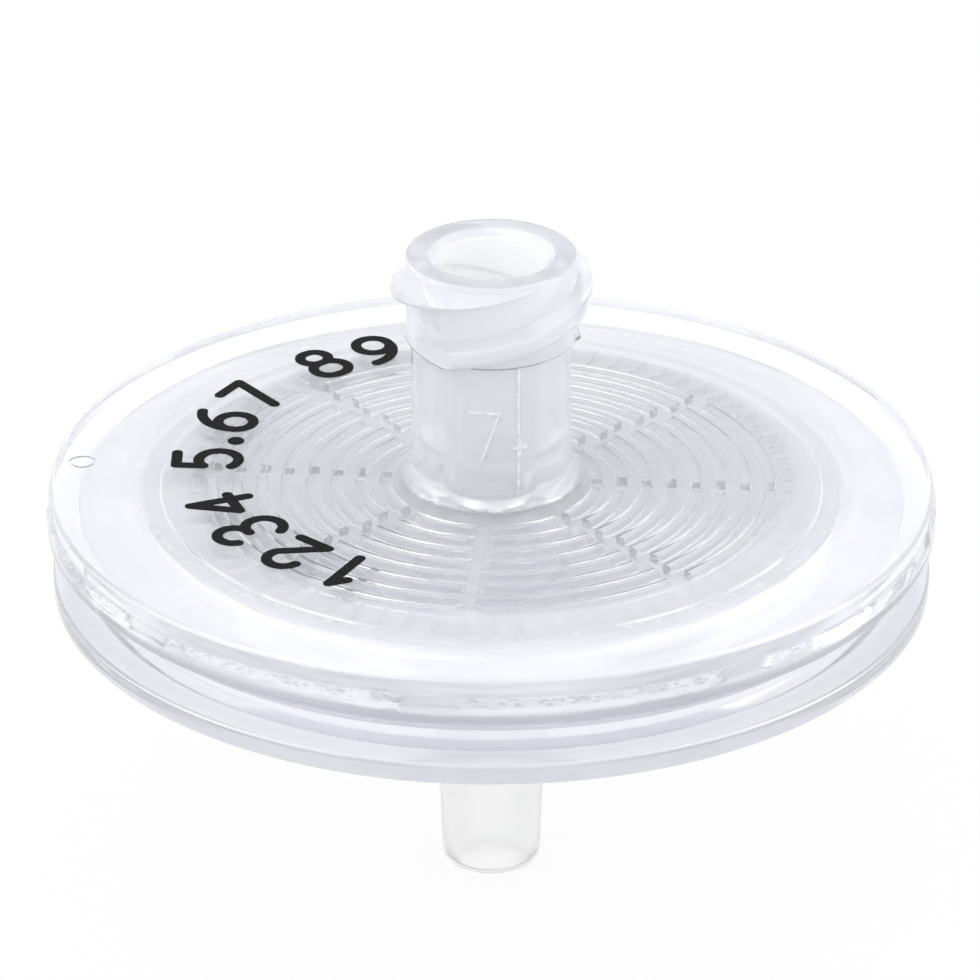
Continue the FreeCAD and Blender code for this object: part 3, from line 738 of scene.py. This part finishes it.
def plastic_zones(graph):
    """Where a point of the plastic lies: its radius, its height and the zones that look different."""
    flange = settings().flange
    place = graph.place()
    split = graph.nodes.new("ShaderNodeSeparateXYZ")
    graph.link(place, split.inputs["Vector"])
    across = graph.nodes.new("ShaderNodeVectorMath")
    across.operation = "LENGTH"
    graph.link(graph.scaled(place, (1, 1, 0)), across.inputs[0])
    geometry = graph.nodes.new("ShaderNodeNewGeometry")
    height = split.outputs["Z"]
    radius = across.outputs["Value"]
    roof = DECK - flange.upper_thickness
    shelf = roof - flange.groove_width
    under = shelf - flange.lower_thickness
    lip = DECK - flange.lip_height
    step = DECK + settings().hub.collar_step
    edge = flange.flange_radius
    waist = flange.waist_radius
    below_deck = graph.ramp(height, DECK - 0.35 * MM, DECK - 0.1 * MM, 1.0, 0.0)
    return SimpleNamespace(
        height=height,
        radius=radius,
        flow=graph.grain(place, 180, 1.0),
        fine=graph.grain(place, 2600, 0.0),
        crackle=graph.grain(graph.scaled(place, (1, 1, 3)), 3200, 1.0),
        outer_side=graph.calculate("SUBTRACT", 1.0, geometry.outputs["Backfacing"]),
        above_spigot=graph.ramp(height, under - 0.5 * MM, under - 0.1 * MM, 0.0, 1.0),
        upper_wall=graph.ramp(height, roof - 0.1 * MM, roof + 0.1 * MM, 0.0, 1.0),
        wall=graph.product(below_deck, graph.ramp(radius, waist - 0.3 * MM, waist - 0.1 * MM, 0.0, 1.0)),
        # Mask for the painted light in the groove.
        groove=graph.product(below_deck, graph.ramp(radius, waist + 0.1 * MM, waist + 0.5 * MM, 1.0, 0.0)),
        # Masks for painted shade at the lower flange's edge and the upper flange's lower edge; the chamfer mask
        # also sets milkiness.
        low_edge=graph.product(
            graph.ramp(radius, edge - 0.1 * MM, edge - 0.03 * MM, 0.0, 1.0),
            graph.ramp(height, shelf - 0.12 * MM, shelf - 0.04 * MM, 1.0, 0.0)),
        chamfer=graph.product(
            graph.ramp(height, roof + 0.32 * MM, roof + 0.78 * MM, 1.0, 0.0),
            graph.ramp(height, roof - 0.1 * MM, roof - 0.02 * MM, 0.0, 1.0),
            graph.ramp(radius, edge - 0.85 * MM, edge - 0.45 * MM, 0.0, 1.0)),
        # Mask for painted shade speckled along the rough seam.
        seam=graph.product(
            graph.between(height, lip - 0.32 * MM, lip, 0.05 * MM),
            graph.ramp(radius, edge + 0.02 * MM, edge + 0.06 * MM, 0.0, 1.0)),
        deck=graph.ramp(radius, 13.9 * MM, 14.6 * MM, 0.0, 1.0),
        scuffed=graph.between(radius, 13.75 * MM, 14.0 * MM, 0.1 * MM),
        hub=graph.product(
            graph.highest(
                graph.ramp(radius, 3.15 * MM, 3.95 * MM, 1.0, 0.0),
                graph.ramp(height, step - 0.2 * MM, step, 0.0, 1.0)),
            graph.ramp(height, WELD, WELD + 0.1 * MM, 0.0, 1.0)),
        # Masks for painted shade at the hub's foot, under the collar's step, on the collar and on the rim's
        # top.
        fillet=graph.ramp(height, DECK + 0.3 * MM, DECK + 0.8 * MM, 1.0, 0.0),
        ledge=graph.between(height, step - 0.1 * MM, step + 0.06 * MM, 0.03 * MM),
        collar=graph.ramp(height, step - 0.02 * MM, step + 0.02 * MM, 0.0, 1.0),
        rim_face=graph.ramp(height, RIM - 0.12 * MM, RIM - 0.02 * MM, 0.0, 1.0),
        socket=graph.product(
            graph.ramp(height, DECK + 0.02 * MM, DECK + 0.1 * MM, 0.0, 1.0),
            graph.ramp(radius, 2.3 * MM, 2.45 * MM, 1.0, 0.0),
            graph.ramp(height, RIM - 0.34 * MM, RIM - 0.26 * MM, 1.0, 0.0)),
        hub_gloss=graph.ramp(height, DECK + 0.02 * MM, DECK + 0.2 * MM, 0.0, 1.0),
    )


def plastic_milk(graph, zone):
    """Share of milk on the plastic's outer side; seen from inside it is clear."""
    finish = settings().finish
    plate = graph.ramp(zone.radius, 11.2 * MM, 12.3 * MM, finish.plate_haze, finish.rim_haze)
    deck = graph.blend(zone.deck, plate, finish.deck_haze)
    wall = graph.product(zone.wall, graph.blend(zone.upper_wall, finish.groove_haze, finish.wall_haze))
    wall = graph.highest(wall, graph.product(zone.chamfer, finish.chamfer_haze))
    milk = graph.highest(deck, wall, graph.product(zone.hub, finish.hub_haze))
    milk = graph.product(milk, zone.above_spigot, graph.ramp(zone.flow, 0.3, 0.7, 0.93, 1.07))
    scuffs = graph.product(zone.scuffed, graph.ramp(zone.fine, 0.5, 0.7, 0.0, 0.1))
    milk = graph.calculate("ADD", milk, scuffs)
    milk = graph.highest(milk, graph.product(zone.socket, finish.socket_haze))
    return graph.product(milk, zone.outer_side)


def plastic_tint(graph, zone):
    """Colour of the plastic's outer side, with painted shade under edges, in the seam, at the hub's foot and on
    the collar and rim, and painted light in the groove.
    """
    finish = settings().finish
    # Painted shade: how much of the darker colour each zone takes, from a faint darkening of the outer flange
    # to full shade under the collar's step.
    painted_shade_share = graph.highest(
        zone.ledge,
        graph.product(zone.chamfer, 0.75),
        graph.product(zone.deck, 0.05),
        graph.product(zone.low_edge, 0.3),
        graph.product(zone.seam, graph.ramp(zone.crackle, 0.48, 0.62, 0.0, 0.38)),
        graph.product(zone.hub, zone.fillet, 0.36),
        graph.product(zone.collar, 0.1),
        graph.product(zone.rim_face, 0.45),
    )
    tint = graph.mix(painted_shade_share, finish.plastic, finish.painted_shade)
    # Painted light: the groove is brightened.
    tint = graph.mix(zone.groove, tint, finish.groove)
    clear = graph.highest(zone.socket, graph.calculate("SUBTRACT", 1.0, zone.above_spigot))
    tint = graph.mix(clear, tint, finish.clear)
    return graph.mix(zone.outer_side, (1, 1, 1), tint)


def plastic_material():
    """Natural plastic: clear where it is thin, milky where it is thick, with faint flow marks."""
    found = bpy.data.materials.get("moulded_plastic")
    if found:
        return found
    finish = settings().finish
    material, graph, shader = make_material("moulded_plastic")
    zone = plastic_zones(graph)
    clearness = graph.calculate("SUBTRACT", 1.0, plastic_milk(graph, zone))
    gloss = graph.blend(zone.hub_gloss, finish.plastic_gloss, finish.hub_gloss)
    gloss = graph.blend(zone.above_spigot, finish.spigot_gloss, gloss)
    gloss = graph.product(gloss, graph.ramp(zone.fine, 0.3, 0.7, 0.9, 1.1))
    graph.link(clearness, shader.inputs["Transmission Weight"])
    graph.link(plastic_tint(graph, zone), shader.inputs["Base Color"])
    graph.link(gloss, shader.inputs["Roughness"])
    shader.inputs["IOR"].default_value = 1.38
    shader.inputs["Coat Weight"].default_value = 0.3
    shader.inputs["Coat Roughness"].default_value = 0.04
    return material


def marks_material():
    """Whitish plastic of the mould's marks and the ticks."""
    found = bpy.data.materials.get("mould_marks")
    if found:
        return found
    finish = settings().finish
    material, graph, shader = make_material("mould_marks")
    fine = graph.grain(graph.place(), 4000)
    tone = graph.mix(graph.ramp(fine, 0.35, 0.65, 0.0, 1.0), finish.dull_marks, finish.marks)
    graph.link(tone, shader.inputs["Base Color"])
    graph.link(graph.ramp(fine, 0.3, 0.7, 0.25, 0.4), shader.inputs["Roughness"])
    graph.bump(shader, fine, 0.3, 0.02 * MM)
    return material


def stroke(target, start, end, width, proud, radius, azimuth, cuts=8):
    """Narrow raised stroke on the hub; its ends are (round the hub, above the deck)."""
    start, end = Vector(start), Vector(end)
    along = end - start
    bar = bmesh.new()
    bmesh.ops.create_cube(bar, size=1)
    long_edges = [e for e in bar.edges if abs((e.verts[0].co - e.verts[1].co).x) > 0.5]
    bmesh.ops.subdivide_edges(bar, edges=long_edges, cuts=cuts, use_grid_fill=True)
    bmesh.ops.scale(bar, verts=bar.verts[:], vec=(along.length + width, 2 * proud, width))
    slope = Matrix.Rotation(-math.atan2(along.y, along.x), 3, "Y")
    bmesh.ops.rotate(bar, verts=bar.verts[:], cent=(0, 0, 0), matrix=slope)
    middle = (start + end) / 2
    bmesh.ops.translate(bar, verts=bar.verts[:], vec=(middle.x, 0, middle.y))
    for point in bar.verts:
        turned = azimuth + point.co.x / radius
        reach = radius + point.co.y
        point.co = Vector((reach * math.cos(turned), reach * math.sin(turned), DECK + point.co.z))
    bar.normal_update()
    bmesh.ops.recalc_face_normals(bar, faces=bar.faces[:])
    append(target, bar)


class FILTER_OT_hub_marks(bpy.types.Operator):
    """Mould number, small cross and parting line on the hub"""

    bl_idname = "filter.hub_marks"
    bl_label = "Hub Marks"

    def execute(self, context):
        sizes = settings().marks
        hub = settings().hub
        marks = bmesh.new()
        half = sizes.number_width / 2
        foot = sizes.number_foot
        top = foot + sizes.number_height
        stroke_size = (sizes.stroke_width, sizes.stroke_proud, hub.tube_radius)
        stroke(marks, (-half, top), (half, top), *stroke_size, sizes.number_azimuth)
        stroke(marks, (half, top), (-0.3 * half, foot), *stroke_size, sizes.number_azimuth)
        reach = sizes.cross_width / 2
        middle = sizes.cross_middle
        stroke(marks, (-reach, middle), (reach, middle), *stroke_size, sizes.cross_azimuth)
        stroke(marks, (0, middle - reach), (0, middle + reach), *stroke_size, sizes.cross_azimuth)
        parting = (sizes.parting_width, sizes.stroke_proud, hub.tube_radius)
        stroke(marks, (0, sizes.parting_foot), (0, hub.collar_step), *parting, sizes.parting_azimuth, 60)
        noise.seed_set(1)
        for point in marks.verts:
            point.co += 0.02 * MM * noise.noise_vector(point.co * 4000)
        piece = link_mesh("hub_marks", marks)
        shade_moulded(piece, 40)
        piece.data.materials.append(marks_material())
        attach(piece, "root")
        return {"FINISHED"}


class FILTER_OT_ticks(bpy.types.Operator):
    """Short radial ribs under the inlet plate, outside the rings"""

    bl_idname = "filter.ticks"
    bl_label = "Ticks"

    def execute(self, context):
        sizes = settings().pattern
        ceiling = DECK - settings().flange.plate_thickness
        height = sizes.tick_height - settings().flange.seam_gap
        last_ring = sizes.ring_start + (sizes.ring_count - 1) * sizes.ring_pitch
        inside = last_ring + sizes.ring_width + sizes.tick_gap
        ticks = bmesh.new()
        bmesh.ops.create_cube(ticks, size=1)
        bmesh.ops.scale(ticks, verts=ticks.verts[:], vec=(sizes.tick_length, sizes.tick_width, height))
        long_edges = [edge for edge in ticks.edges if edge.calc_length() > 2 * sizes.tick_width]
        bmesh.ops.bevel(
            ticks, geom=long_edges, offset=0.4 * height, segments=3, profile=0.5, affect="EDGES", material=-1,
        )
        centre = (inside + sizes.tick_length / 2, 0, ceiling - sizes.tick_height + height / 2)
        bmesh.ops.translate(ticks, verts=ticks.verts[:], vec=centre)
        repeat_round(ticks, sizes.tick_count)
        piece = link_mesh("inlet_ticks", ticks)
        shade_moulded(piece, 40)
        piece.data.materials.append(marks_material())
        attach(piece, "root")
        return {"FINISHED"}


class FILTER_OT_membrane(bpy.types.Operator):
    """White membrane between the halves"""

    bl_idname = "filter.membrane"
    bl_label = "Membrane"

    def execute(self, context):
        finish = settings().finish
        material, graph, shader = make_material("membrane_film")
        pores = graph.grain(graph.place(), 6000, 3.0)
        darker = [0.96 * part for part in finish.membrane]
        tone = graph.mix(graph.ramp(pores, 0.3, 0.7, 0.0, 1.0), darker, finish.membrane)
        graph.link(tone, shader.inputs["Base Color"])
        graph.link(graph.ramp(pores, 0.3, 0.7, 0.85, 0.95), shader.inputs["Roughness"])
        graph.bump(shader, pores, 0.2, 0.01 * MM)
        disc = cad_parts["membrane"]
        disc.data.materials.clear()
        disc.data.materials.append(material)
        return {"FINISHED"}


class FILTER_OT_figures(bpy.types.Operator):
    """Printed figures on the deck"""

    bl_idname = "filter.figures"
    bl_label = "Printed Figures"

    def execute(self, context):
        finish = settings().finish
        material, graph, shader = make_material("printing_ink")
        grains = graph.grain(graph.place(), 5000, 3.0)
        thin = [part + 0.006 for part in finish.ink]
        tone = graph.mix(graph.ramp(grains, 0.5, 0.8, 0.0, 1.0), finish.ink, thin)
        graph.link(tone, shader.inputs["Base Color"])
        graph.link(graph.ramp(grains, 0.3, 0.7, 0.6, 0.8), shader.inputs["Roughness"])
        shader.inputs["Specular IOR Level"].default_value = 0.12
        graph.bump(shader, grains, 0.2, 0.01 * MM)
        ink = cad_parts["printed_figures"]
        ink.data.materials.clear()
        ink.data.materials.append(material)
        return {"FINISHED"}


def show_white(graph, plain, white, most, output):
    """Mix a plain shader with a white one for rays that see it directly, in a mirror or through plastic."""
    path = graph.nodes.new("ShaderNodeLightPath")
    rays = [path.outputs[f"Is {kind} Ray"] for kind in ("Camera", "Glossy", "Transmission")]
    mix = graph.nodes.new("ShaderNodeMixShader")
    graph.link(graph.product(graph.highest(*rays), most), mix.inputs["Fac"])
    graph.link(plain.outputs[0], mix.inputs[1])
    graph.link(white.outputs[0], mix.inputs[2])
    graph.link(mix.outputs["Shader"], graph.nodes[output].inputs["Surface"])


def floor_material():
    """Pale floor that is seen as white and keeps a faint shadow."""
    studio = settings().studio
    material, graph, shader = make_material("studio_floor")
    shader.inputs["Base Color"].default_value = (*studio.floor, 1)
    shader.inputs["Roughness"].default_value = 0.9
    glow = graph.nodes.new("ShaderNodeEmission")
    show_white(graph, shader, glow, studio.floor_white, "Material Output")
    return material


def studio_world():
    """Plain light all round, seen as white."""
    studio = settings().studio
    world = bpy.data.worlds.new("studio")
    world.use_nodes = True
    graph = Graph(world.node_tree)
    plain = graph.nodes["Background"]
    plain.inputs["Color"].default_value = (*studio.daylight, 1)
    plain.inputs["Strength"].default_value = studio.daylight_strength
    white = graph.nodes.new("ShaderNodeBackground")
    white.inputs["Color"].default_value = (1, 1, 1, 1)
    show_white(graph, plain, white, 1.0, "World Output")
    return world


def area_light(name, place, target, width, power):
    """Square soft light aimed at a point."""
    data = bpy.data.lights.new(name, "AREA")
    data.size = width
    data.energy = power
    light = bpy.data.objects.new(name, data)
    light.location = place
    light.rotation_euler = (Vector(target) - Vector(place)).to_track_quat("-Z", "Y").to_euler()
    bpy.context.scene.collection.objects.link(light)
    return light


class FILTER_OT_stage(bpy.types.Operator):
    """Floor, world, lights and camera"""

    bl_idname = "filter.stage"
    bl_label = "Studio"

    def execute(self, context):
        studio = settings().studio
        scene = context.scene
        scene.view_settings.view_transform = "Standard"
        floor = bmesh.new()
        bmesh.ops.create_grid(floor, x_segments=1, y_segments=1, size=3)
        ground = link_mesh("studio_floor", floor)
        ground.data.materials.append(floor_material())
        scene.world = studio_world()
        scene.cycles.max_bounces = 12
        scene.cycles.glossy_bounces = 8
        scene.cycles.transmission_bounces = 12
        middle = Vector((0, 0, DECK))
        area_light("key_light", (-0.25, -0.15, 0.4), middle, studio.key_width, studio.key_power)
        area_light("fill_light", (0.35, 0.1, 0.3), middle, studio.key_width, studio.fill_power)
        data = bpy.data.cameras.new("camera")
        data.lens = studio.lens
        data.sensor_width = 36
        data.clip_start = 0.01
        data.clip_end = 10
        camera = bpy.data.objects.new("camera", data)
        back = Vector((0, -math.cos(studio.elevation), math.sin(studio.elevation)))
        camera.location = middle + back * studio.distance
        aim = middle - Vector((studio.aim_left, 0, studio.aim_below))
        camera.rotation_euler = (aim - camera.location).to_track_quat("-Z", "Y").to_euler()
        scene.collection.objects.link(camera)
        scene.camera = camera
        return {"FINISHED"}


class FilterSettings(bpy.types.PropertyGroup):
    """All settings of the object."""

    flange: PointerProperty(type=FlangeSizes)
    hub: PointerProperty(type=HubSizes)
    pattern: PointerProperty(type=PatternSizes)
    spigot: PointerProperty(type=SpigotSizes)
    marks: PointerProperty(type=MarkSizes)
    finish: PointerProperty(type=FinishSettings)
    studio: PointerProperty(type=StudioSettings)


class FILTER_PT_panel(bpy.types.Panel):
    """Operators in the sidebar"""

    bl_idname = "FILTER_PT_panel"
    bl_label = "Syringe Filter"
    bl_space_type = "VIEW_3D"
    bl_region_type = "UI"
    bl_category = "Filter"

    def draw(self, context):
        for operator in OPERATORS:
            self.layout.operator(operator.bl_idname)


OPERATORS = (
    FILTER_OT_inlet_housing,
    FILTER_OT_outlet_housing,
    FILTER_OT_hub_marks,
    FILTER_OT_ticks,
    FILTER_OT_membrane,
    FILTER_OT_figures,
    FILTER_OT_stage,
)
GROUPS = (
    FlangeSizes, HubSizes, PatternSizes, SpigotSizes, MarkSizes, FinishSettings, StudioSettings, FilterSettings,
)
CLASSES = GROUPS + OPERATORS + (FILTER_PT_panel,)


def register():
    """Register the classes and the settings."""
    for each in CLASSES:
        bpy.utils.register_class(each)
    bpy.types.Scene.filter_settings = PointerProperty(type=FilterSettings)


def unregister():
    """Remove the settings and the classes."""
    del bpy.types.Scene.filter_settings
    for each in reversed(CLASSES):
        bpy.utils.unregister_class(each)


def main():
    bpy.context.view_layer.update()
    register()
    bpy.ops.filter.inlet_housing()
    bpy.ops.filter.outlet_housing()
    bpy.ops.filter.hub_marks()
    bpy.ops.filter.ticks()
    bpy.ops.filter.membrane()
    bpy.ops.filter.figures()
    bpy.ops.filter.stage()


if __name__ == "__main__":
    main()
